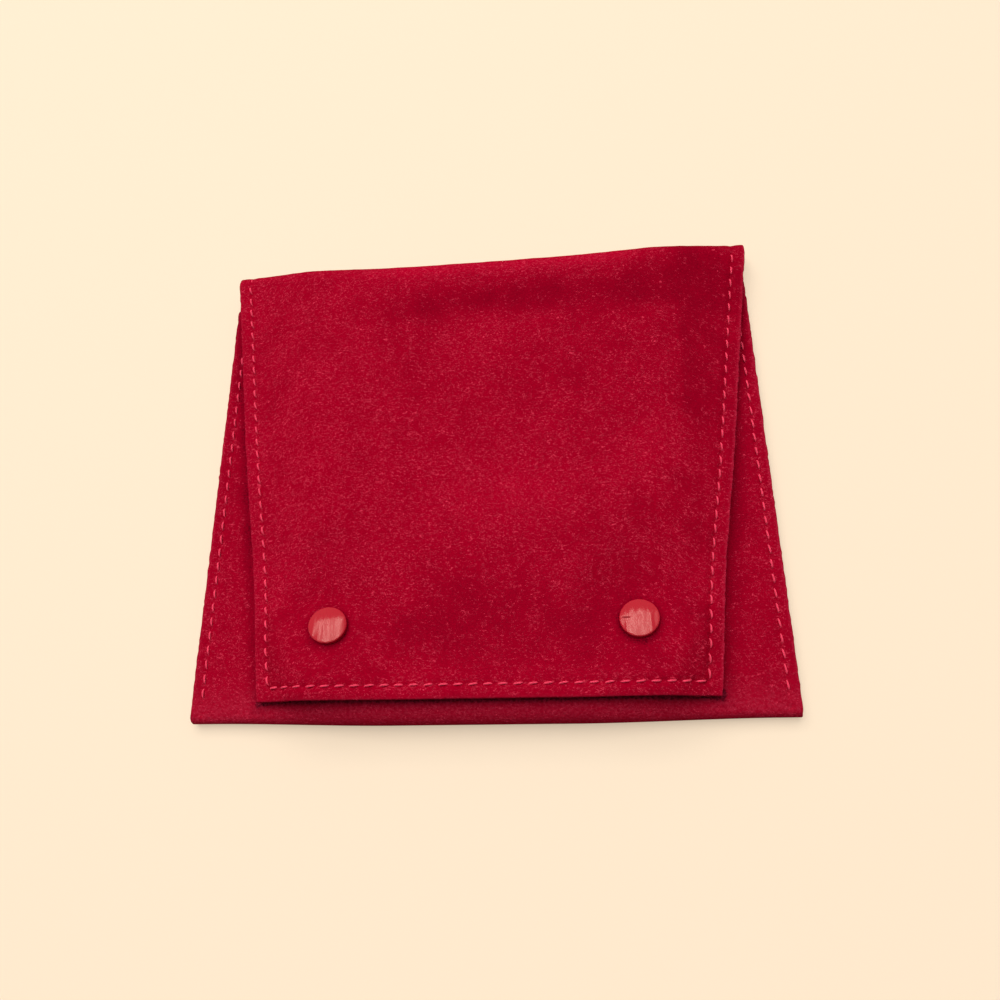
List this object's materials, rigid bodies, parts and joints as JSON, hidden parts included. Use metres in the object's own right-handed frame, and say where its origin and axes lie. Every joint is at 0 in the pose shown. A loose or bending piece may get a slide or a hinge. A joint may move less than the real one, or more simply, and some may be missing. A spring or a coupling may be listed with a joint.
{
  "type": "jewelry pouch",
  "caption": "Flat suede jewelry pouch: a folded pocket closed by a tapered fold-over flap that fastens with painted press studs.",
  "frame": {"origin": "centre of the closed pouch's outline, on the surface that its back rests on", "axes": "+X to the right along the bottom fold as the flap is looked at, +Y from the bottom fold to the crease, +Z out of the flap"},
  "size_m": [0.129, 0.107, 0.0127],
  "materials": {
    "suede_outer": "brushed microsuede, crimson",
    "suede_lining": "brushed microsuede, crimson",
    "stitch_thread": "polyester sewing thread, lighter red",
    "red_lacquer": "glossy red lacquer on brass",
    "nickel_plate": "nickel-plated brass, semi-bright",
    "spring_wire": "drawn spring wire"
  },
  "bodies": {
    "pouch": {"outer_back": "suede_outer", "outer_fold": "suede_outer", "outer_front": "suede_outer", "outer_crease": "suede_outer", "lining_back": "suede_lining", "lining_fold": "suede_lining", "lining_front": "suede_lining", "lining_crease": "suede_lining", "seam_thread_left": "stitch_thread", "seam_thread_right": "stitch_thread", "mouth_thread": "stitch_thread", "snap_stud_left": "nickel_plate", "snap_stud_right": "nickel_plate", "snap_post_left": "nickel_plate", "snap_post_right": "nickel_plate"},
    "flap": {"outer_flap": "suede_outer", "lining_flap": "suede_lining", "flap_thread_outside": "stitch_thread", "flap_thread_inside": "stitch_thread", "snap_cap_left": "red_lacquer", "snap_cap_right": "red_lacquer", "snap_socket_left": "nickel_plate", "snap_socket_right": "nickel_plate", "snap_spring_left": "spring_wire", "snap_spring_right": "spring_wire"}
  },
  "joints": [
    {"name": "flap_crease", "type": "hinge", "parent": "pouch", "child": "flap", "pos_m": [0, 0.0515, 0.0051], "axis": [-1, 0, 0], "range_deg": [0, 178], "deforming": ["outer_crease", "lining_crease", "snap_spring_left", "snap_spring_right"]}
  ]
}
